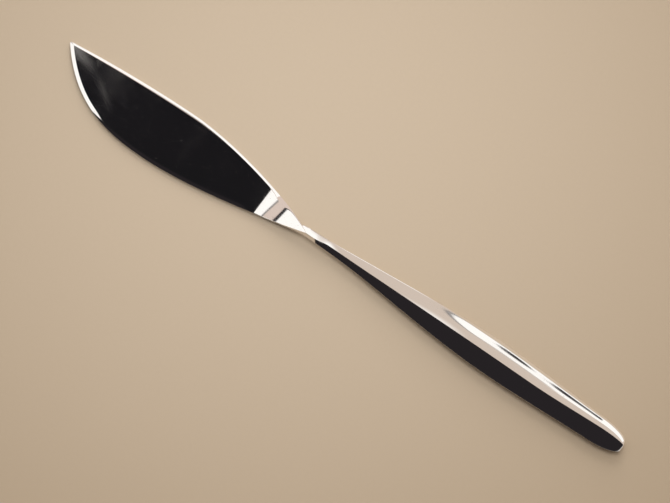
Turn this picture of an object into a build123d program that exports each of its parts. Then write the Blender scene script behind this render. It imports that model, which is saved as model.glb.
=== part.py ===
from build123d import *
import os
from math import atan2, cos, pi, radians, sin, sqrt, tan

# Fish knife: a flat blade with a raised shoulder and a solid neck, in a hollow handle of two brazed shells.
# Millimetres. +X runs from the blade's tip to the handle's end, +Y to the blade's back, +Z up off the table.
# The origin is the middle of the knife's footprint on the table.

# Lengths along the knife
BLADE_LENGTH = 89.5
NECK_LENGTH = 22.5
HANDLE_LENGTH = 88.0

# Blade plate: the outline's offsets are from the handle's axis, and its stations from the tip
BLADE_THICKNESS = 1.3
BACK_RISE = 9.62
BACK_PEAK = 44.0
EDGE_DROP = 9.62
EDGE_BELLY = 37.0
TIP_OFFSET = 6.6
TIP_RADIUS = 0.4
TIP_BACK_ANGLE = 7.0
TIP_EDGE_ANGLE = 50.0
NECK_BACK_OFFSET = -0.28
NECK_BACK_ANGLE = 27.0
NECK_EDGE_ANGLE = 8.5

# How far each outline curve keeps its starting and its closing direction
BACK_FRONT_PULL = (12.0, 14.0)
BACK_REAR_PULL = (11.0, 13.3)
EDGE_FRONT_PULL = (19.0, 11.0)
EDGE_REAR_PULL = (19.0, 14.0)

# Bevel round the plate's upper rim
BEVEL_WIDTH = 1.05
BEVEL_DEPTH = 0.32

# Shoulder: a concave sweep, then a straight ramp up to the neck
SHOULDER_LENGTH = 17.5
SHOULDER_SWEEP = 10.0
UNDERCUT_LENGTH = 15.0
NECK_BEVEL_START = 0.80

# Bar of the neck and handle: half widths, height of the parting plane and depth below it
NECK_HALF_WIDTH = 1.4
NECK_OFFSET = -0.4
GRIP_HALF_WIDTH = 5.36
GRIP_FROM_END = 45.0
END_HALF_WIDTH = 3.95
END_ROUND = 9.0
END_FLAT = 0.275
PARTING_HEIGHT = 2.4
NECK_DEPTH = 1.1
GRIP_DEPTH = 2.75

# Ridge along the top of the bar: offsets from the handle's axis
FACET_TILT = 26.0
RIDGE_NECK = -1.05
RIDGE_THROAT = -0.35
RIDGE_GRIP = -0.42
RIDGE_END = 0.85
TWIST_START = 4.0
TWIST_LENGTH = 5.0
RIDGE_DRIFT = 32.0
FLAT_BULGE = 1.5
ROUND_BULGE = 9.0

# Hollow handle: walls, rim land, seams and tang
SHELL_WALL = 0.55
RIM_LAND = 1.2
RIM_LIP = 0.2
END_WALL = 5.0
SEAM = 0.12
MOUTH_GAP = 0.12
SOCKET_LENGTH = 6.0
TANG_DIAMETER = 1.6
TANG_LENGTH = 45.0
TANG_OFFSET = -0.1
TANG_HEIGHT = 2.15

# Spacing of the sections that the bar and its cavity are lofted through
BAR_STEP = 1.8
CAVITY_STEP = 6.0

# Places that follow from the sizes above
TIP_X = -(BLADE_LENGTH + NECK_LENGTH + HANDLE_LENGTH) / 2
NECK_X = TIP_X + BLADE_LENGTH
MOUTH_X = NECK_X + NECK_LENGTH
END_X = MOUTH_X + HANDLE_LENGTH
GRIP_X = END_X - GRIP_FROM_END
SHOULDER_X = NECK_X - SHOULDER_LENGTH
UNDERCUT_X = NECK_X - UNDERCUT_LENGTH
CAVITY_X = MOUTH_X + SOCKET_LENGTH
ROUND_X = END_X - END_ROUND
ROOM = 2 * (BLADE_LENGTH + NECK_LENGTH + HANDLE_LENGTH)


def ease(x, start, end):
    """Value that runs smoothly from start to end, each given as (x, value)."""
    share = min(max((x - start[0]) / (end[0] - start[0]), 0), 1)
    return start[1] + (end[1] - start[1]) * share * share * (3 - 2 * share)


def half_width(x):
    if x < GRIP_X:
        return ease(x, (NECK_X, NECK_HALF_WIDTH), (GRIP_X, GRIP_HALF_WIDTH))
    return ease(x, (GRIP_X, GRIP_HALF_WIDTH), (END_X, END_HALF_WIDTH))


def centre_y(x):
    return ease(x, (NECK_X, NECK_OFFSET), (MOUTH_X, 0))


def ridge_y(x):
    twist_x = NECK_X + TWIST_START
    throat_x = twist_x + TWIST_LENGTH
    if x < throat_x:
        return ease(x, (twist_x, RIDGE_NECK), (throat_x, RIDGE_THROAT))
    if x < END_X - RIDGE_DRIFT:
        return ease(x, (throat_x, RIDGE_THROAT), (MOUTH_X, RIDGE_GRIP))
    return ease(x, (END_X - RIDGE_DRIFT, RIDGE_GRIP), (END_X, RIDGE_END))


def ridge_rise(x):
    return (centre_y(x) + half_width(x) - ridge_y(x)) * tan(radians(FACET_TILT))


def keel_depth(x):
    return ease(x, (NECK_X, NECK_DEPTH), (GRIP_X, GRIP_DEPTH))


def bulged_arc(start, end, bulge):
    """Arc between two points of a section that turns by twice the bulge angle, away from the parting plane."""
    half = (end - start) / 2
    outward = Vector(0, half.Z, -half.Y) if half.Y < 0 else Vector(0, -half.Z, half.Y)
    return ThreePointArc(start, start + half + outward * tan(radians(bulge / 2)), end)


def bar_section(x, scale=1.0, rim=0.0, wall=0.0):
    """Two facets over a round belly, drawn in by rim at the two edges and by wall at the ridge and keel."""
    centre = centre_y(x)
    reach = half_width(x) - rim
    depth = min(keel_depth(x), PARTING_HEIGHT) - wall if wall else keel_depth(x)
    far = Vector(x, (centre + reach) * scale, PARTING_HEIGHT)
    near = Vector(x, (centre - reach) * scale, PARTING_HEIGHT)
    ridge = Vector(x, ridge_y(x) * scale, PARTING_HEIGHT + (ridge_rise(x) - wall) * scale)
    keel = Vector(x, centre * scale, PARTING_HEIGHT - depth * scale)
    bulge = ease(x, (MOUTH_X, FLAT_BULGE), (GRIP_X, ROUND_BULGE))
    return make_face([
        bulged_arc(far, ridge, bulge),
        bulged_arc(ridge, near, bulge),
        ThreePointArc(near, keel, far),
    ])


def spread(start, end, step):
    """Even places from start to end, about one step apart."""
    count = max(round((end - start) / step), 1)
    return [start + (end - start) * index / count for index in range(count + 1)]


def neck_and_handle():
    """Solid bar from the neck to the handle's end: even sections, then an elliptic round."""
    faces = [bar_section(x) for x in spread(NECK_X, ROUND_X, BAR_STEP)]
    for arc in spread(0, END_ROUND * pi / 2, BAR_STEP)[1:]:
        angle = arc / END_ROUND
        x = ROUND_X + END_ROUND * sin(angle)
        faces.append(bar_section(x, scale=END_FLAT + (1 - END_FLAT) * cos(angle)))
    return loft(faces) & block(-ROOM, ROOM, 0, ROOM)


def block(x_from, x_to, z_from, z_to):
    """Slice of space across the knife, used to cut the bar."""
    middle = Vector((x_from + x_to) / 2, 0, (z_from + z_to) / 2)
    return Pos(middle) * Box(x_to - x_from, ROOM, z_to - z_from)


def tip_point(inset):
    """Centre of the tip's rounding; a drawn-in outline keeps the same distance from both edges."""
    half_angle = radians(TIP_BACK_ANGLE + TIP_EDGE_ANGLE) / 2
    lean = radians(TIP_BACK_ANGLE - TIP_EDGE_ANGLE) / 2
    back_off = inset / sin(half_angle)
    return Vector(TIP_X + TIP_RADIUS + back_off * cos(lean), TIP_OFFSET + back_off * sin(lean))


def curve(start, start_way, end, end_way):
    return Bezier(start, start + start_way, end - end_way, end)


def way(angle, length):
    return Vector(cos(radians(angle)), sin(radians(angle))) * length


def blade_outline(inset=0.0):
    """Plan of the blade from tip to neck, drawn in by inset all round."""
    tip = tip_point(inset)
    tip_back = tip + way(90 + TIP_BACK_ANGLE, TIP_RADIUS)
    tip_front = tip - Vector(TIP_RADIUS, 0)
    tip_edge = tip + way(-90 - TIP_EDGE_ANGLE, TIP_RADIUS)
    peak = Vector(TIP_X + BACK_PEAK, BACK_RISE - inset)
    belly = Vector(TIP_X + EDGE_BELLY, inset - EDGE_DROP)
    neck_back = Vector(NECK_X, NECK_BACK_OFFSET)
    neck_edge = Vector(NECK_X, centre_y(NECK_X) - half_width(NECK_X))
    return [
        ThreePointArc(tip_edge, tip_front, tip_back),
        curve(tip_back, way(TIP_BACK_ANGLE, BACK_FRONT_PULL[0]), peak, way(0, BACK_FRONT_PULL[1])),
        curve(peak, way(0, BACK_REAR_PULL[0]), neck_back, way(-NECK_BACK_ANGLE, BACK_REAR_PULL[1])),
        Line(neck_back, neck_edge),
        curve(neck_edge, way(180 + NECK_EDGE_ANGLE, EDGE_REAR_PULL[1]), belly, way(180, EDGE_REAR_PULL[0])),
        curve(belly, way(180, EDGE_FRONT_PULL[1]), tip_edge, way(180 - TIP_EDGE_ANGLE, EDGE_FRONT_PULL[0])),
    ]


def neck_top():
    return PARTING_HEIGHT + ridge_rise(NECK_X)


def shoulder_tilt():
    """Slope of the ramp, in radians: the sweep and the ramp together climb to the ridge at the neck."""
    climb = neck_top() - BLADE_THICKNESS
    return atan2(climb, SHOULDER_LENGTH - SHOULDER_SWEEP / 2)


def shoulder_side():
    """Side view of the shoulder, from the plate to the neck."""
    tilt = shoulder_tilt()
    radius = SHOULDER_SWEEP / sin(tilt)
    start = Vector(SHOULDER_X, 0, BLADE_THICKNESS)
    middle = start + Vector(radius * sin(tilt / 2), 0, radius * (1 - cos(tilt / 2)))
    swept = start + Vector(SHOULDER_SWEEP, 0, radius * (1 - cos(tilt)))
    top = Vector(NECK_X, 0, neck_top())
    under = Vector(NECK_X, 0, PARTING_HEIGHT - NECK_DEPTH)
    rise_start = Vector(UNDERCUT_X, 0, 0)
    pull = Vector(UNDERCUT_LENGTH / 2, 0, 0)
    return make_face([
        ThreePointArc(start, middle, swept),
        Line(swept, top),
        Line(top, under),
        curve(under, -pull, rise_start, -pull),
        Line(rise_start, Vector(SHOULDER_X, 0, 0)),
        Line(Vector(SHOULDER_X, 0, 0), start),
    ])


def blade_plate():
    """Flat plate that lies on the table, with the bevel round its upper rim."""
    outer = make_face(blade_outline())
    inner = make_face(blade_outline(BEVEL_WIDTH))
    rim_height = BLADE_THICKNESS - BEVEL_DEPTH
    bevel = loft([Pos(0, 0, rim_height) * outer, Pos(0, 0, BLADE_THICKNESS) * inner], ruled=True)
    plate = extrude(outer, rim_height) + bevel
    return plate & block(TIP_X, UNDERCUT_X, 0, BLADE_THICKNESS)


def sweep_height(x):
    """Height of the shoulder's upper face on the sweep."""
    radius = SHOULDER_SWEEP / sin(shoulder_tilt())
    return BLADE_THICKNESS + radius - sqrt(radius**2 - (x - SHOULDER_X) ** 2)


def blade_shoulder():
    """Lift from the plate to the neck, with the near corner cut back to the neck's near facet."""
    outline = blade_outline()
    body = extrude(make_face(outline), neck_top()) & extrude(shoulder_side(), ROOM / 2, both=True)
    rim = outline[4] @ (1 - NECK_BEVEL_START)
    rim_top = Vector(rim.X, rim.Y, sweep_height(rim.X))
    ridge = Vector(NECK_X, ridge_y(NECK_X), neck_top())
    near = Vector(NECK_X, centre_y(NECK_X) - half_width(NECK_X), PARTING_HEIGHT)
    facet = Plane(origin=ridge, x_dir=rim_top - ridge, z_dir=(rim_top - ridge).cross(near - ridge))
    return split(body, bisect_by=facet, keep=Keep.BOTTOM)


def tang(radius, length):
    return Pos(MOUTH_X, TANG_OFFSET, TANG_HEIGHT) * Rot(0, 90, 0) * Cylinder(
        radius, length, align=(Align.CENTER, Align.CENTER, Align.MIN)
    )


def cavity():
    """Hollow of the handle."""
    stations = spread(CAVITY_X, END_X - END_WALL, CAVITY_STEP)
    return loft([bar_section(x, rim=RIM_LAND, wall=SHELL_WALL) for x in stations])


bar = neck_and_handle()
hollow = cavity()
tang_body = tang(TANG_DIAMETER / 2, TANG_LENGTH)
socket = tang(TANG_DIAMETER / 2 + MOUTH_GAP, SOCKET_LENGTH)
shell_x = MOUTH_X + MOUTH_GAP
seam_top = PARTING_HEIGHT - RIM_LIP
seam_floor = seam_top - SEAM

neck = bar & block(-ROOM, MOUTH_X, -ROOM, ROOM)
blade = blade_plate() + blade_shoulder() + neck + tang_body
upper_shell = (bar & block(shell_x, ROOM, seam_top, ROOM)) - hollow - socket
lower_shell = (bar & block(shell_x, ROOM, -ROOM, seam_floor)) - hollow - socket
seam = (bar & block(shell_x, ROOM, seam_floor, seam_top)) - hollow - socket
mouth_braze = (bar & block(MOUTH_X, shell_x, -ROOM, ROOM)) + socket - tang_body
filler = hollow - socket - tang_body

os.makedirs("parts", exist_ok=True)
export_step(blade, "parts/blade.step")
export_step(upper_shell, "parts/handle_upper_shell.step")
export_step(lower_shell, "parts/handle_lower_shell.step")
export_step(seam, "parts/handle_seam.step")
export_step(mouth_braze, "parts/mouth_braze.step")
export_step(filler, "parts/handle_filler.step")
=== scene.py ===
from math import cos, hypot, pi, radians, sin, sqrt, tan

import bmesh
import bpy
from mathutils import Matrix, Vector


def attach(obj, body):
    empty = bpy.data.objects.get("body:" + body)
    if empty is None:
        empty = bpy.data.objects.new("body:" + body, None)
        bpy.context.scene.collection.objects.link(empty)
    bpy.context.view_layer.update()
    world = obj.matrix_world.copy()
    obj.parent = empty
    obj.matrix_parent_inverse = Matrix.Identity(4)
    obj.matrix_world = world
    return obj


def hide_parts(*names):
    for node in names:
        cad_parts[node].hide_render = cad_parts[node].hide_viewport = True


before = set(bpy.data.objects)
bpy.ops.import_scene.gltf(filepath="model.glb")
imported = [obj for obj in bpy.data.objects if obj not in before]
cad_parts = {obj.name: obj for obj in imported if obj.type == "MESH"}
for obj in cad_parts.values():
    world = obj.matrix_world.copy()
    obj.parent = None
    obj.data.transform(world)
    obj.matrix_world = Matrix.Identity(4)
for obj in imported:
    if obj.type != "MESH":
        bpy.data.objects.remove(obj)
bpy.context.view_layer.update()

# The object's sizes are in millimetres, as in the solids, and angles in degrees; meshes are written in
# metres, and the camera, the paper and the lamps are placed in metres
MM = 0.001

# Camera: it looks down on the middle of the knife, from the near side
CAMERA_AZIMUTH = 35.38
CAMERA_ELEVATION = 75.0
CAMERA_DISTANCE = 0.75
CAMERA_LENS = 139.5
LOOK_AT = Vector((0.00034, 0.0, 0.0))

# Lengths along the knife
TIP_X = -99.999
NECK_X = -10.5
MOUTH_X = 12.0
END_X = 100.0
GRIP_X = 55.0

# Blade plate
BLADE_THICKNESS = 1.3
BACK_RISE = 9.62
BACK_PEAK = 44.0
EDGE_DROP = 9.62
EDGE_BELLY = 37.0
TIP_OFFSET = 6.6
TIP_RADIUS = 0.4
TIP_BACK_ANGLE = 7.0
TIP_EDGE_ANGLE = 50.0
NECK_BACK_OFFSET = -0.28
NECK_BACK_ANGLE = 27.0
NECK_EDGE_ANGLE = 8.5
BACK_FRONT_PULL = (12.0, 14.0)
BACK_REAR_PULL = (11.0, 13.3)
EDGE_FRONT_PULL = (19.0, 11.0)
EDGE_REAR_PULL = (19.0, 14.0)
BACK_BEVEL = 0.68
EDGE_BEVEL = 1.05
BEVEL_SLOPE = 0.22
BEVEL_CROWN = 0.028
BEVEL_RUN_OUT = 4.0
ROUND_WIDTH = 1.4
ROUND_END_WIDTH = 0.4
ROUND_SLOPE = 0.13

# Shoulder: a knee in the plate, a hollow sweep and a straight ramp up to the neck
KNEE_X = -26.2
KNEE_LENGTH = 1.0
KNEE_TILT = 4.4
SWEEP_END_X = -16.0
RAMP_TILT = 9.6
SKEW = 0.09
SKEW_X = -19.0
UNDERCUT_X = -25.5
ROUND_START_X = -25.0
ROUND_X = -20.5
ROUND_END_X = -15.5
FACET_START_X = -17.0
APEX_X = -9.0

# Bar of the neck and handle
NECK_HALF_WIDTH = 1.4
NECK_OFFSET = -0.4
GRIP_HALF_WIDTH = 5.36
END_HALF_WIDTH = 3.95
END_ROUND = 9.0
END_FLAT = 0.275
PARTING_HEIGHT = 2.4
NECK_DEPTH = 1.1
GRIP_DEPTH = 2.75
FACET_TILT = 25.98
RIDGE_NECK = -1.05
RIDGE_THROAT = -0.35
RIDGE_GRIP = -0.42
RIDGE_END = 0.85
TWIST_START = 4.0
TWIST_LENGTH = 5.0
RIDGE_DRIFT = 32.0
FLAT_BULGE = 1.5
ROUND_BULGE = 9.0
EDGE_ROUND = 0.12
RIM_BEVEL = 0.3
RIM_TILT = 32.5
NOSE_LENGTH = 1.7
NOSE_TURN = 80.0
NOSE_WIDTH = 0.9
NOSE_HEIGHT = 0.74
RIM_LIFT = 0.38
RIM_LIFT_END_X = 6.0

# Hollow handle
SHELL_WALL = 0.55
RIM_LAND = 1.2
END_WALL = 5.0
SEAM_TOP = 2.2
SEAM_FLOOR = 2.08
MOUTH_GAP = 0.12

# Mesh density
BAR_STEP = 0.6
NECK_STEP = 0.3
NOSE_STEPS = 36
FACET_STEPS = 16
ROUND_STEPS = 5
BLADE_ROWS = 220
ROW_CROWDING = 1.5
FACE_STEPS = 30
BEVEL_STEPS = 8
CREASE = 0.02
SLOPE_STEP = 0.001
CURVE_HALVINGS = 40
WELD_DISTANCE = 1e-7
SHARP_ANGLE = 20.0

# Polished metal: its colours, the roughness of the bright polish and what a dull mark adds to it
SILVER = (0.84, 0.82, 0.8)
BRAZE_SILVER = (0.83, 0.8, 0.76)
TARNISH = (0.7, 0.67, 0.63)
TARNISH_SHARE = 0.3
POLISH_ROUGHNESS = 0.03
DULL_ROUGHNESS = 0.17

# Marks in the polish: the detail of their noise, where on it they start and are full, and their dullness
HAZE = (3, 0.45, 0.75, 0.3)
HAIRS = (2, 0.6, 0.75, 0.4)
SPECKS = (0, 0.8, 0.86, 0.7)

# Fineness of those marks along the knife, across it and upward
HANDLE_HAZE_SCALE = (30, 120, 120)
BLADE_HAZE_SCALE = (90, 35, 35)
HAIR_SCALE = (160, 5200, 5200)
SPECK_SCALE = (1400, 1400, 1400)

# Wiped smears near the tip: dullness, middle, turn, and the half length and half width
BLADE_SMEARS = (
    (0.27, (-94.5, 5.2), -17.0, (12.5, 3.2)),
    (0.29, (-82.5, -0.2), -37.0, (12.0, 2.4)),
)

# Resin filler
RESIN_DARK = (0.26, 0.2, 0.15)
RESIN_LIGHT = (0.34, 0.28, 0.21)
RESIN_SCALE = (300, 300, 300)
RESIN_DETAIL = 3
RESIN_ROUGHNESS = 0.7

# Sheet of paper with painted light: palest at a place beyond the knife, with painted shade darker away
# from there
PAPER_SIZE = 6.0
PAPER_PAINTED_LIGHT = (0.58, 0.482, 0.37)
PAPER_PAINTED_SHADE_AND_GRAIN = (0.305, 0.2265, 0.1475)
PAINTED_LIGHT_AZIMUTH = 230.0
PAINTED_LIGHT_REACH = 0.0535
PAINTED_LIGHT_FADE = 0.28
GRAIN_SCALE = (900, 900, 900)
GRAIN_DETAIL = 4
GRAIN_SHARE = 0.07
PAPER_ROUGHNESS = 0.9

# Lamps over the paper: name, azimuth, elevation, distance, size and power
LAMP_COLOUR = (1.0, 0.98, 0.95)
LAMPS = (
    ("high_lamp", 150.0, 82.0, 0.8, 0.4, 3.0),
    ("low_lamp", 206.0, 27.0, 3.0, 1.7, 40.0),
)

# Colours of the studio round the knife
DARK = (0.0225, 0.0193, 0.0215)
CEILING = (0.011, 0.0105, 0.012)
WALL = (0.16, 0.15, 0.145)
SCREEN = (0.62, 0.6, 0.58)
PINK = (0.739, 0.629, 0.543)
ROSE = (0.81, 0.675, 0.6)
BEIGE = (0.72, 0.58, 0.44)
WHITE = (1.22, 1.2, 1.17)
GREY = (0.3, 0.28, 0.27)
BLACK = (0.03, 0.026, 0.03)
BACKGROUND = (0.62, 0.5, 0.37)

# Patches of the studio, each laid over those before it. A patch is a rounded box of directions: its
# azimuths and its elevations as (from, to, corner), then the softness of its border and its colour
STUDIO = (
    # Dark ceiling, dim wall on the near side, and a pale screen on either side
    ((140, 300, 5), (60, 92, 3), 0.8, CEILING),
    ((8, 150, 12), (-20, 40, 10), 0.8, WALL),
    ((38, 112, 14), (8, 34, 8), 0.8, SCREEN),
    ((262, 325, 8), (-20, 45, 8), 0.8, SCREEN),
    # Far wall, the pale table before it and a low strip of light
    ((90, 262, 5), (-10, 48, 5), 0.2, PINK),
    ((60, 300, 5), (-20, 12.9, 2), 0.1, BEIGE),
    ((190.5, 215, 3), (5, 17, 3), 0.5, WHITE),
    # Long softbox over the far wall, a soft glow under it and the rose wall beside it
    ((110, 213.7, 1), (47, 62, 1), 0.2, WHITE),
    ((190.8, 230, 3), (32, 60, 6), 1.4, WHITE),
    ((213, 262, 1), (40, 69, 1), 0.2, ROSE),
    # Strip light in a grey frame, a softbox in a black frame, and a softbox beside them
    ((228, 264, 5), (65.1, 69.5, 2), 0.1, GREY),
    ((229, 264, 5), (65.6, 69.3, 1.8), 0.1, WHITE),
    ((232, 275, 20), (38, 64.15, 9), 0.03, BLACK),
    ((236, 275, 18), (39, 64.1, 8), 0.03, WHITE),
    ((260, 298.5, 2), (45, 66.5, 2), 0.3, WHITE),
    # Low softbox in a grey frame, with two black slots in it
    ((150, 189.9, 2.3), (12.6, 27.6, 7.4), 0.15, GREY),
    ((150, 180.9, 0.5), (12.9, 29.5, 2), 0.3, WHITE),
    ((150, 189.4, 2.0), (12.9, 27, 7), 0.15, WHITE),
    ((182.1, 184.8, 1.3), (15.2, 20.8, 2.8), 0.3, BLACK),
    ((180.0, 181.1, 0.5), (15.6, 22.4, 3.4), 0.3, BLACK),
)


def toward(azimuth, elevation):
    """Unit vector from the knife towards that side; azimuth 0 is the -Y side, and it turns to +X."""
    a = radians(azimuth)
    e = radians(elevation)
    return Vector((sin(a) * cos(e), -cos(a) * cos(e), sin(e)))


def way(angle, length):
    """Step of that length in a plane, at an angle from its first axis."""
    return Vector((cos(radians(angle)), sin(radians(angle)))) * length


def ease(x, start, end):
    """Value that runs smoothly from start to end, each given as (x, value)."""
    share = min(max((x - start[0]) / (end[0] - start[0]), 0), 1)
    return start[1] + (end[1] - start[1]) * share * share * (3 - 2 * share)


def mix(a, b, share):
    return a + (b - a) * share


def spread(start, end, count):
    """Even places from start to end, both included."""
    return [mix(start, end, index / count) for index in range(count + 1)]


def half_width(x):
    if x < GRIP_X:
        return ease(x, (NECK_X, NECK_HALF_WIDTH), (GRIP_X, GRIP_HALF_WIDTH))
    return ease(x, (GRIP_X, GRIP_HALF_WIDTH), (END_X, END_HALF_WIDTH))


def centre_y(x):
    return ease(x, (NECK_X, NECK_OFFSET), (MOUTH_X, 0))


def ridge_y(x):
    twist_x = NECK_X + TWIST_START
    throat_x = twist_x + TWIST_LENGTH
    if x < throat_x:
        return ease(x, (twist_x, RIDGE_NECK), (throat_x, RIDGE_THROAT))
    if x < END_X - RIDGE_DRIFT:
        return ease(x, (throat_x, RIDGE_THROAT), (MOUTH_X, RIDGE_GRIP))
    return ease(x, (END_X - RIDGE_DRIFT, RIDGE_GRIP), (END_X, RIDGE_END))


def ridge_rise(x):
    return (centre_y(x) + half_width(x) - ridge_y(x)) * tan(radians(FACET_TILT))


def keel_depth(x):
    return ease(x, (NECK_X, NECK_DEPTH), (GRIP_X, GRIP_DEPTH))


def far_rim_lift(x):
    """The neck's far rim starts higher, so that the far facet flattens towards the shoulder."""
    return ease(x, (NECK_X, RIM_LIFT), (RIM_LIFT_END_X, 0))


def bulge_at(x):
    return ease(x, (MOUTH_X, FLAT_BULGE), (GRIP_X, ROUND_BULGE))


def arc_points(start, end, bulge, count):
    """Points of an arc from start to end that bends outward, up, by the bulge angle at each end."""
    chord = end - start
    out = Vector((-chord.y, chord.x)) if chord.x > 0 else Vector((chord.y, -chord.x))
    angle = radians(bulge)
    points = []
    for share in spread(0, 1, count):
        turn = (2 * share - 1) * angle
        along = (sin(turn) / sin(angle) + 1) / 2
        height = (cos(turn) - cos(angle)) / (2 * sin(angle))
        points.append(start + chord * along + out * height)
    return points


def soften(before, corner, after, radius):
    """Short curve that replaces a corner between two neighbours."""
    start = corner + (before - corner).normalized() * min(radius, (before - corner).length / 2)
    end = corner + (after - corner).normalized() * min(radius, (after - corner).length / 2)
    return [
        start * (1 - t) ** 2 + corner * 2 * t * (1 - t) + end * t**2
        for t in spread(0, 1, ROUND_STEPS)
    ]


def belly_y(z, reach, depth):
    """Half width of the round belly at a height."""
    radius = (reach**2 + depth**2) / (2 * depth)
    middle = PARTING_HEIGHT - depth + radius
    return sqrt(max(radius**2 - (z - middle) ** 2, 0))


def upper_profile(x, scale=1.0, rim=0.0, wall=0.0, foot=SEAM_TOP):
    """Section of the bar above a foot height, from the near side over the ridge to the far side."""
    centre = centre_y(x) * scale
    reach = (half_width(x) - rim) * scale
    depth = keel_depth(x) * scale
    near = Vector((centre - reach, PARTING_HEIGHT))
    far = Vector((centre + reach, PARTING_HEIGHT + far_rim_lift(x)))
    ridge = Vector((ridge_y(x) * scale, PARTING_HEIGHT + (ridge_rise(x) - wall) * scale))
    low = belly_y(foot, reach, depth)
    near_foot = Vector((centre - low, foot))
    far_foot = Vector((centre + low, foot))
    bulge = bulge_at(x)
    brow = far + (ridge - far).normalized() * RIM_BEVEL * scale
    lip = brow + way(-max(RIM_TILT, FACET_TILT + bulge), RIM_BEVEL * scale)
    near_facet = arc_points(near, ridge, bulge, FACET_STEPS)
    far_facet = arc_points(ridge, brow, bulge, FACET_STEPS)
    points = [near_foot]
    points += soften(near_foot, near, near_facet[1], EDGE_ROUND * scale)
    points += near_facet[1:] + far_facet[1:]
    points += soften(brow, lip, far_foot, EDGE_ROUND * scale)
    points.append(far_foot)
    return [Vector((x, p.x, p.y)) for p in points]


def lower_profile(x, scale=1.0, rim=0.0, wall=0.0, head=SEAM_FLOOR):
    """Section of the bar below a head height, from the far side under the keel to the near side."""
    centre = centre_y(x) * scale
    reach = (half_width(x) - rim) * scale
    full_depth = keel_depth(x)
    depth = (min(full_depth, PARTING_HEIGHT) - wall if wall else full_depth) * scale
    floor = max(PARTING_HEIGHT - depth, 0.0)
    sides = [mix(head, floor, sin(t)) for t in spread(0, pi / 2, FACET_STEPS)]
    far = [Vector((x, centre + belly_y(z, reach, depth), z)) for z in sides]
    near = [Vector((x, centre - belly_y(z, reach, depth), z)) for z in sides]
    bottom = [far[-1].lerp(near[-1], t) for t in spread(0, 1, FACET_STEPS)]
    return far + bottom[1:-1] + near[::-1]


def bar_stations(start):
    """Places along the bar with the section's scale there: even, then along the elliptic round."""
    round_x = END_X - END_ROUND
    places = [(x, 1.0) for x in spread(start, round_x, round((round_x - start) / BAR_STEP))]
    for angle in spread(0, pi / 2, round(END_ROUND * pi / 2 / BAR_STEP))[1:]:
        places.append((round_x + END_ROUND * sin(angle), END_FLAT + (1 - END_FLAT) * cos(angle)))
    return places


def add_mesh(name, points, faces):
    """Mesh object from points in millimetres, with smooth faces and outward normals."""
    shape = bmesh.new()
    corners = [shape.verts.new(p * MM) for p in points]
    for face in faces:
        shape.faces.new([corners[k] for k in face])
    bmesh.ops.remove_doubles(shape, verts=shape.verts, dist=WELD_DISTANCE)
    bmesh.ops.recalc_face_normals(shape, faces=shape.faces)
    mesh = bpy.data.meshes.new(name)
    shape.to_mesh(mesh)
    shape.free()
    mesh.shade_smooth()
    mesh.set_sharp_from_angle(angle=radians(SHARP_ANGLE))
    piece = bpy.data.objects.new(name, mesh)
    bpy.context.scene.collection.objects.link(piece)
    return piece


def ring_mesh(rings):
    """Closed skin over a row of closed rings, with flat ends."""
    count = len(rings[0])
    points = [p for ring in rings for p in ring]
    faces = []
    for row in range(len(rings) - 1):
        for k in range(count):
            a = row * count + k
            b = row * count + (k + 1) % count
            faces.append((a, b, b + count, a + count))
    last = (len(rings) - 1) * count
    faces.append(tuple(range(count)))
    faces.append(tuple(range(last, last + count)))
    return points, faces


def shell_mesh(outer, inner):
    """Open shell: two skins joined at the mouth and along both rims, solid past the inner one."""
    width = len(outer[0])
    points = [p for row in outer for p in row]
    base = len(points)
    points += [p for row in inner for p in row]
    last = width - 1
    faces = []
    for row in range(len(outer) - 1):
        for k in range(last):
            a = row * width + k
            faces.append((a, a + 1, a + 1 + width, a + width))
    for row in range(len(inner) - 1):
        for k in range(last):
            a = base + row * width + k
            faces.append((a, a + width, a + 1 + width, a + 1))
        for k in (0, last):
            a = row * width + k
            faces.append((a, a + width, base + a + width, base + a))
    for k in range(last):
        faces.append((k, base + k, base + k + 1, k + 1))
    end = len(inner) - 1
    faces.append(tuple(base + end * width + k for k in range(width)))
    a = end * width
    faces.append((a, a + width, a + width + last, a + last, base + a + last, base + a))
    for row in range(end + 1, len(outer) - 1):
        a = row * width
        faces.append((a, a + width, a + width + last, a + last))
    tail = (len(outer) - 1) * width
    faces.append(tuple(tail + k for k in range(width)))
    return points, faces


def handle_shell(profile):
    """Skins of one half of the handle."""
    places = bar_stations(MOUTH_X + MOUTH_GAP)
    cavity_end = END_X - END_WALL - END_ROUND
    outer = [profile(x, scale) for x, scale in places]
    inner = [profile(x, rim=RIM_LAND, wall=SHELL_WALL) for x, _ in places if x < cavity_end]
    return shell_mesh(outer, inner)


def neck_rings():
    """Neck of the blade: a rounded nose under the shoulder, then the bar up to the handle's mouth."""
    rings = []
    for angle in spread(radians(NOSE_TURN), 0, NOSE_STEPS)[:-1]:
        rings.append(neck_ring(NECK_X, NECK_X - NOSE_LENGTH * sin(angle), cos(angle)))
    for x in spread(NECK_X, MOUTH_X, round((MOUTH_X - NECK_X) / NECK_STEP)):
        rings.append(neck_ring(x, x, 1))
    return rings


def neck_ring(section_x, x, scale):
    """Section of the bar, drawn together round the ridge and tucked under the shoulder's point."""
    ring = upper_profile(section_x) + lower_profile(section_x, head=SEAM_TOP)[1:-1]
    width = scale * ease(x, (NECK_X, NOSE_WIDTH), (APEX_X, 1))
    height = scale * ease(x, (NECK_X, NOSE_HEIGHT), (APEX_X, 1))
    return [
        Vector((x, mix(RIDGE_NECK, p.y, width), mix(PARTING_HEIGHT, p.z, height)))
        for p in ring
    ]


def braze_rings():
    """Flush ring of braze between the neck and the handle."""
    places = (MOUTH_X, MOUTH_X + MOUTH_GAP / 2, MOUTH_X + MOUTH_GAP)
    return [upper_profile(x) + lower_profile(x, head=SEAM_TOP)[1:-1] for x in places]


def bezier(points, t):
    a, b, c, d = points
    s = 1 - t
    return a * s**3 + b * 3 * s * s * t + c * 3 * s * t * t + d * t**3


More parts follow.
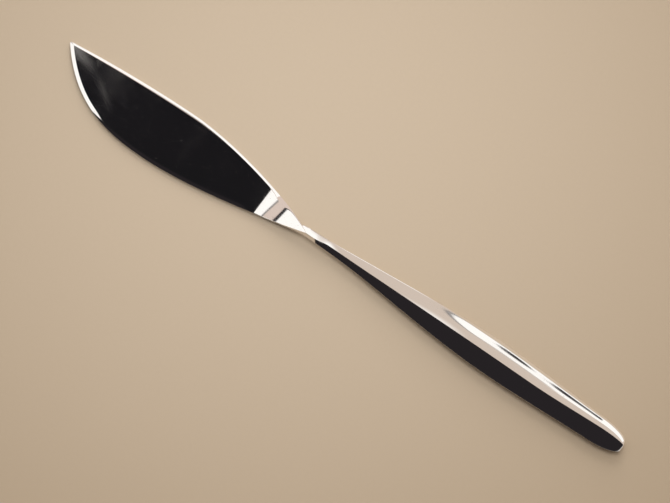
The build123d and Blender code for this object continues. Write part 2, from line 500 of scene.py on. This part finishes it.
def curve(start, start_way, end, end_way):
    return (start, start + start_way, end - end_way, end)


def tip_centre():
    return Vector((TIP_X + TIP_RADIUS, TIP_OFFSET))


def face_tip():
    """Corner of the upper face, where the two bevels meet at the tip."""
    back = way(TIP_BACK_ANGLE, EDGE_BEVEL - TIP_RADIUS)
    edge = way(-TIP_EDGE_ANGLE, BACK_BEVEL - TIP_RADIUS)
    return tip_centre() + (back + edge) / sin(radians(TIP_BACK_ANGLE + TIP_EDGE_ANGLE))


def back_line():
    """Curves of the blade's back, from the tip to the neck."""
    start = tip_centre() + way(90 + TIP_BACK_ANGLE, TIP_RADIUS)
    peak = Vector((TIP_X + BACK_PEAK, BACK_RISE))
    neck = Vector((NECK_X, NECK_BACK_OFFSET))
    return (
        curve(start, way(TIP_BACK_ANGLE, BACK_FRONT_PULL[0]), peak, way(0, BACK_FRONT_PULL[1])),
        curve(peak, way(0, BACK_REAR_PULL[0]), neck, way(-NECK_BACK_ANGLE, BACK_REAR_PULL[1])),
    )


def edge_line():
    """Curves of the blade's edge, from the tip to the neck."""
    start = tip_centre() + way(-90 - TIP_EDGE_ANGLE, TIP_RADIUS)
    belly = Vector((TIP_X + EDGE_BELLY, -EDGE_DROP))
    neck = Vector((NECK_X, centre_y(NECK_X) - half_width(NECK_X)))
    return (
        curve(start, way(-TIP_EDGE_ANGLE, EDGE_FRONT_PULL[0]), belly, way(0, EDGE_FRONT_PULL[1])),
        curve(belly, way(0, EDGE_REAR_PULL[0]), neck, way(NECK_EDGE_ANGLE, EDGE_REAR_PULL[1])),
    )


def curve_share(points, x):
    """Share of the way along a curve at which it reaches x."""
    low = 0.0
    high = 1.0
    for _ in range(CURVE_HALVINGS):
        middle = (low + high) / 2
        if bezier(points, middle).x < x:
            low = middle
        else:
            high = middle
    return low


def outline(line, side, x):
    """Point of the blade's outline at a place; side is 1 at the back and -1 at the edge."""
    first, last = line
    tip = tip_centre()
    if x < first[0].x:
        return Vector((x, tip.y + side * sqrt(max(TIP_RADIUS**2 - (x - tip.x) ** 2, 0))))
    if x > NECK_X:
        close = last[3] - last[2]
        return last[3] + close * (x - NECK_X) / close.x
    part = first if x < first[3].x else last
    return bezier(part, curve_share(part, x))


def drawn_in(line, side, x, inset):
    """Point inside the outline by inset; before the upper face's own tip it stays on that tip."""
    tip = face_tip()
    if x < tip.x:
        return tip
    rim = outline(line, side, x)
    slope = (outline(line, side, x + SLOPE_STEP).y - rim.y) / SLOPE_STEP
    return rim - Vector((0, side * inset * hypot(1, slope)))


def lift(x):
    """How far the shoulder's upper face stands over the plate."""
    start = tan(radians(KNEE_TILT))
    ramp = tan(radians(RAMP_TILT))
    sweep = SWEEP_END_X - KNEE_X - KNEE_LENGTH
    if x < KNEE_X:
        return 0.0
    knee = min((x - KNEE_X) / KNEE_LENGTH, 1)
    along = min(max(x - KNEE_X - KNEE_LENGTH, 0), sweep)
    height = start * KNEE_LENGTH * knee * knee / 2
    height += start * along + (ramp - start) * along * along / sweep / 2
    return height + ramp * max(x - SWEEP_END_X, 0)


def underside(x):
    """Height of the lower face, which leaves the table under the shoulder."""
    return ease(x, (UNDERCUT_X, 0), (NECK_X, PARTING_HEIGHT - NECK_DEPTH))


def neck_top():
    return PARTING_HEIGHT + ridge_rise(NECK_X)


def blade_top(x, y):
    """Height of the upper face, which sweeps up a little askew and ends on the neck's ridge."""
    rise = neck_top() - BLADE_THICKNESS
    across = ease(x, (KNEE_X, 0), (SKEW_X, SKEW)) * (y - RIDGE_NECK)
    return BLADE_THICKNESS + rise * lift(x - across) / lift(APEX_X)


def crease_shares(steps):
    """Shares from 0 to 1 with a close pair at each end, so that a crease stays crisp."""
    return [0, CREASE] + spread(0, 1, steps)[1:-1] + [1 - CREASE, 1]


def back_inset(x):
    """Width of the band along the back: a bevel, then a wider soft round that runs out at the neck."""
    if x < ROUND_X:
        return ease(x, (ROUND_START_X, BACK_BEVEL), (ROUND_X, ROUND_WIDTH))
    if x < ROUND_END_X:
        return ease(x, (ROUND_X, ROUND_WIDTH), (ROUND_END_X, ROUND_END_WIDTH))
    return mix(ROUND_END_WIDTH, CREASE, (x - ROUND_END_X) / (APEX_X - ROUND_END_X))


def edge_inset(x):
    """Width of the bevel along the edge, which runs out at the knee."""
    return ease(x, (KNEE_X - BEVEL_RUN_OUT, EDGE_BEVEL), (KNEE_X, CREASE))


def on_top(point):
    return Vector((point.x, point.y, blade_top(point.x, point.y)))


def near_crease(x):
    """Inner line of the edge's bevel; past the shoulder's start, the line of the neck's near facet."""
    if x < FACET_START_X:
        return on_top(drawn_in(edge_line(), -1, x, edge_inset(x)))
    start = outline(edge_line(), -1, FACET_START_X)
    along = (x - FACET_START_X) / (APEX_X - FACET_START_X)
    return on_top(Vector((x, mix(start.y, RIDGE_NECK, along) + CREASE)))


def blade_row(x):
    """Ring round the blade: over the upper face from the edge to the back, then along the underside."""
    edge_rim = on_top(outline(edge_line(), -1, x))
    back_rim = on_top(outline(back_line(), 1, x))
    edge_face = near_crease(x)
    back_face = on_top(drawn_in(back_line(), 1, x, back_inset(x)))
    low_back = Vector((x, back_rim.y, underside(x)))
    low_edge = Vector((x, edge_rim.y, underside(x)))
    facet_share = max(x - FACET_START_X, 0) / (APEX_X - FACET_START_X)
    edge_rim.z -= BEVEL_SLOPE * edge_inset(x) + (neck_top() - PARTING_HEIGHT) * facet_share
    rounded = ease(x, (ROUND_START_X, 0), (ROUND_X, 1))
    ring = []
    for t in crease_shares(BEVEL_STEPS):
        point = edge_rim.lerp(edge_face, t)
        point.z += BEVEL_CROWN * edge_inset(x) * t * (1 - t)
        ring.append(point)
    ring += [on_top(edge_face.lerp(back_face, t)) for t in crease_shares(FACE_STEPS)[1:-1]]
    for t in crease_shares(BEVEL_STEPS):
        point = back_face.lerp(back_rim, t)
        point.z -= back_inset(x) * mix(BEVEL_SLOPE * t, ROUND_SLOPE * t * t / 2, rounded)
        ring.append(point)
    ring += [low_back.lerp(low_edge, t) for t in crease_shares(FACE_STEPS)]
    return ring


def blade_rings():
    """Rings from the tip to the shoulder's point, closer together towards the tip."""
    shares = spread(0, 1, BLADE_ROWS)
    return [blade_row(mix(TIP_X, APEX_X, share**ROW_CROWDING)) for share in shares]


class Nodes:
    """Small helper that adds nodes to a node tree and returns their output sockets."""

    def __init__(self, tree):
        self.tree = tree

    def add(self, kind, **settings):
        node = self.tree.nodes.new(kind)
        for key, value in settings.items():
            setattr(node, key, value)
        return node

    def link(self, source, target):
        """Feed a socket from another socket or with a plain number."""
        if isinstance(source, (int, float)):
            target.default_value = source
        else:
            self.tree.links.new(source, target)

    def math(self, operation, a, b=0.0):
        node = self.add("ShaderNodeMath", operation=operation)
        self.link(a, node.inputs[0])
        self.link(b, node.inputs[1])
        return node.outputs[0]

    def step(self, value, low, high):
        """0 under low and 1 over high."""
        node = self.add("ShaderNodeMapRange", interpolation_type="SMOOTHSTEP")
        self.link(value, node.inputs["Value"])
        node.inputs["From Min"].default_value = low
        node.inputs["From Max"].default_value = high
        return node.outputs["Result"]

    def noise(self, place, scale, detail):
        """Noise between 0 and 1 that is stretched by a scale along each axis."""
        stretch = self.add("ShaderNodeMapping")
        self.link(place, stretch.inputs["Vector"])
        stretch.inputs["Scale"].default_value = scale
        node = self.add("ShaderNodeTexNoise")
        self.link(stretch.outputs["Vector"], node.inputs["Vector"])
        node.inputs["Scale"].default_value = 1.0
        node.inputs["Detail"].default_value = detail
        return node.outputs["Fac"]

    def marks(self, place, scale, detail, low, high, strength):
        """Marks where a noise is high: 0 under low and the full strength over high."""
        noise = self.noise(place, scale, detail)
        return self.math("MULTIPLY", self.step(noise, low, high), strength)

    def smear(self, place, strength, middle, turn, size):
        """Soft oval mark, seen from above: its full strength in the middle and 0 at its border."""
        oval = self.add("ShaderNodeMapping", vector_type="TEXTURE")
        self.link(place, oval.inputs["Vector"])
        oval.inputs["Location"].default_value = (middle[0] * MM, middle[1] * MM, 0)
        oval.inputs["Rotation"].default_value = (0, 0, radians(turn))
        oval.inputs["Scale"].default_value = (size[0] * MM, size[1] * MM, 1)
        reach = self.add("ShaderNodeVectorMath", operation="LENGTH")
        self.link(oval.outputs["Vector"], reach.inputs[0])
        inside = self.math("SUBTRACT", 1.0, self.step(reach.outputs["Value"], 0.0, 1.0))
        return self.math("MULTIPLY", inside, strength)

    def outside(self, value, span):
        """How far a value lies outside the straight part of a span, as a share of the span's corner."""
        low, high, corner = span
        middle = (low + high) / 2
        off = self.math("ABSOLUTE", self.math("SUBTRACT", value, middle))
        past = self.math("SUBTRACT", off, (high - low) / 2 - corner)
        return self.math("DIVIDE", self.math("MAXIMUM", past, 0.0), corner)

    def rounded_box(self, u, v, u_span, v_span, soft):
        """1 inside a box with rounded corners and 0 outside it, with a soft border."""
        a = self.outside(u, u_span)
        b = self.outside(v, v_span)
        squares = self.math("ADD", self.math("MULTIPLY", a, a), self.math("MULTIPLY", b, b))
        reach = self.math("SQRT", squares)
        return self.math("SUBTRACT", 1.0, self.step(reach, 1 - soft / 2, 1 + soft / 2))

    def blend(self, share, a, b):
        """Colour that runs from a to b; each is a plain colour or another socket."""
        node = self.add("ShaderNodeMix", data_type="RGBA")
        self.link(share, node.inputs["Factor"])
        colours = [s for s in node.inputs if s.type == "RGBA"]
        for value, socket in zip((a, b), colours):
            if isinstance(value, tuple):
                socket.default_value = (*value, 1)
            else:
                self.tree.links.new(value, socket)
        return [s for s in node.outputs if s.type == "RGBA"][0]


def new_material(name):
    """New material, with a helper for its nodes, the place on the object and its shader."""
    material = bpy.data.materials.new(name)
    material.use_nodes = True
    nodes = Nodes(material.node_tree)
    place = nodes.add("ShaderNodeTexCoord").outputs["Object"]
    return material, nodes, place, material.node_tree.nodes["Principled BSDF"]


def polished_metal(name, colour, haze_scale, smears=()):
    """Mirror polish with wiped haze, smears, hairline scratches along the knife and a few dull specks."""
    material, nodes, place, shader = new_material(name)
    dull = nodes.marks(place, haze_scale, *HAZE)
    dull = nodes.math("MAXIMUM", dull, nodes.marks(place, HAIR_SCALE, *HAIRS))
    dull = nodes.math("MAXIMUM", dull, nodes.marks(place, SPECK_SCALE, *SPECKS))
    for smear in smears:
        dull = nodes.math("MAXIMUM", dull, nodes.smear(place, *smear))
    roughness = nodes.math("ADD", nodes.math("MULTIPLY", dull, DULL_ROUGHNESS), POLISH_ROUGHNESS)
    tone = nodes.blend(nodes.math("MULTIPLY", dull, TARNISH_SHARE), colour, TARNISH)
    nodes.link(roughness, shader.inputs["Roughness"])
    nodes.link(tone, shader.inputs["Base Color"])
    shader.inputs["Metallic"].default_value = 1.0
    return material


def resin(name):
    """Dull cast filler with a cloudy tone."""
    material, nodes, place, shader = new_material(name)
    cloud = nodes.noise(place, RESIN_SCALE, RESIN_DETAIL)
    nodes.link(nodes.blend(cloud, RESIN_DARK, RESIN_LIGHT), shader.inputs["Base Color"])
    shader.inputs["Roughness"].default_value = RESIN_ROUGHNESS
    return material


def paper(name):
    """Pale matt paper with a fine grain, and painted light that is palest at one place, with painted
    shade a little darker away from it.
    """
    material, nodes, place, shader = new_material(name)
    # Painted light and shade on the paper: its tone fades from lit to shaded with distance from a place
    # beyond the knife
    away = nodes.add("ShaderNodeVectorMath", operation="DISTANCE")
    nodes.link(place, away.inputs[0])
    away.inputs[1].default_value = toward(PAINTED_LIGHT_AZIMUTH, 0) * PAINTED_LIGHT_REACH
    shade = nodes.step(away.outputs["Value"], 0.0, PAINTED_LIGHT_FADE)
    grain = nodes.math("MULTIPLY", nodes.noise(place, GRAIN_SCALE, GRAIN_DETAIL), GRAIN_SHARE)
    tone = nodes.blend(shade, PAPER_PAINTED_LIGHT, PAPER_PAINTED_SHADE_AND_GRAIN)
    tone = nodes.blend(grain, tone, PAPER_PAINTED_SHADE_AND_GRAIN)
    nodes.link(tone, shader.inputs["Base Color"])
    shader.inputs["Roughness"].default_value = PAPER_ROUGHNESS
    return material


def add_floor():
    bpy.ops.mesh.primitive_plane_add(size=PAPER_SIZE)
    floor = bpy.context.object
    floor.name = "floor"
    floor.data.materials.append(paper("paper"))


def add_lamp(name, azimuth, elevation, distance, size, power):
    """Soft square lamp that points at the knife, and that its polish doesn't show."""
    data = bpy.data.lights.new(name, "AREA")
    data.size = size
    data.energy = power
    data.color = LAMP_COLOUR
    lamp = bpy.data.objects.new(name, data)
    bpy.context.scene.collection.objects.link(lamp)
    lamp.visible_glossy = False
    side = toward(azimuth, elevation)
    lamp.location = side * distance
    lamp.rotation_euler = side.to_track_quat("Z", "Y").to_euler()


def add_world():
    """Studio as the polish shows it; to the camera the world is plain paper colour."""
    world = bpy.data.worlds.new("studio")
    bpy.context.scene.world = world
    world.use_nodes = True
    nodes = Nodes(world.node_tree)
    direction = nodes.add("ShaderNodeTexCoord").outputs["Generated"]
    parts = nodes.add("ShaderNodeSeparateXYZ")
    nodes.link(direction, parts.inputs[0])
    x, y, z = parts.outputs
    elevation = nodes.math("DEGREES", nodes.math("ARCSINE", z))
    turn = nodes.math("ARCTAN2", nodes.math("MULTIPLY", x, -1.0), y)
    azimuth = nodes.math("ADD", nodes.math("DEGREES", turn), 180.0)
    colour = DARK
    for azimuths, elevations, soft, patch in STUDIO:
        share = nodes.rounded_box(azimuth, elevation, azimuths, elevations, soft)
        colour = nodes.blend(share, colour, patch)
    seen = nodes.add("ShaderNodeLightPath").outputs["Is Camera Ray"]
    colour = nodes.blend(seen, colour, BACKGROUND)
    nodes.link(colour, world.node_tree.nodes["Background"].inputs["Color"])


def add_camera():
    data = bpy.data.cameras.new("camera")
    data.lens = CAMERA_LENS
    camera = bpy.data.objects.new("camera", data)
    bpy.context.scene.collection.objects.link(camera)
    back = toward(CAMERA_AZIMUTH, CAMERA_ELEVATION)
    camera.location = LOOK_AT + back * CAMERA_DISTANCE
    camera.rotation_euler = (-back).to_track_quat("-Z", "Y").to_euler()
    bpy.context.scene.camera = camera


BLADE_METAL = polished_metal("polished_blade", SILVER, BLADE_HAZE_SCALE, BLADE_SMEARS)
HANDLE_METAL = polished_metal("polished_handle", SILVER, HANDLE_HAZE_SCALE)
BRAZE = polished_metal("polished_braze", BRAZE_SILVER, HANDLE_HAZE_SCALE)
RESIN = resin("filler_resin")
PIECES = (
    ("forged_blade", ring_mesh(blade_rings()), "blade", "blade_metal", BLADE_METAL),
    ("forged_neck", ring_mesh(neck_rings()), "blade", "blade_metal", BLADE_METAL),
    ("handle_top", handle_shell(upper_profile), "handle_upper_shell", "handle_metal", HANDLE_METAL),
    ("handle_belly", handle_shell(lower_profile), "handle_lower_shell", "handle_metal", HANDLE_METAL),
    ("braze_ring", ring_mesh(braze_rings()), "mouth_braze", "braze", BRAZE),
)
for name, (points, faces), node, slot, material in PIECES:
    piece = add_mesh(name, points, faces)
    piece.data.materials.append(material)
    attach(piece, "root")
    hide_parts(node)
for node, material in (("handle_seam", BRAZE), ("handle_filler", RESIN)):
    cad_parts[node].data.materials.clear()
    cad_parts[node].data.materials.append(material)

add_floor()
for lamp in LAMPS:
    add_lamp(*lamp)
add_world()
add_camera()
bpy.context.scene.view_settings.view_transform = "Standard"
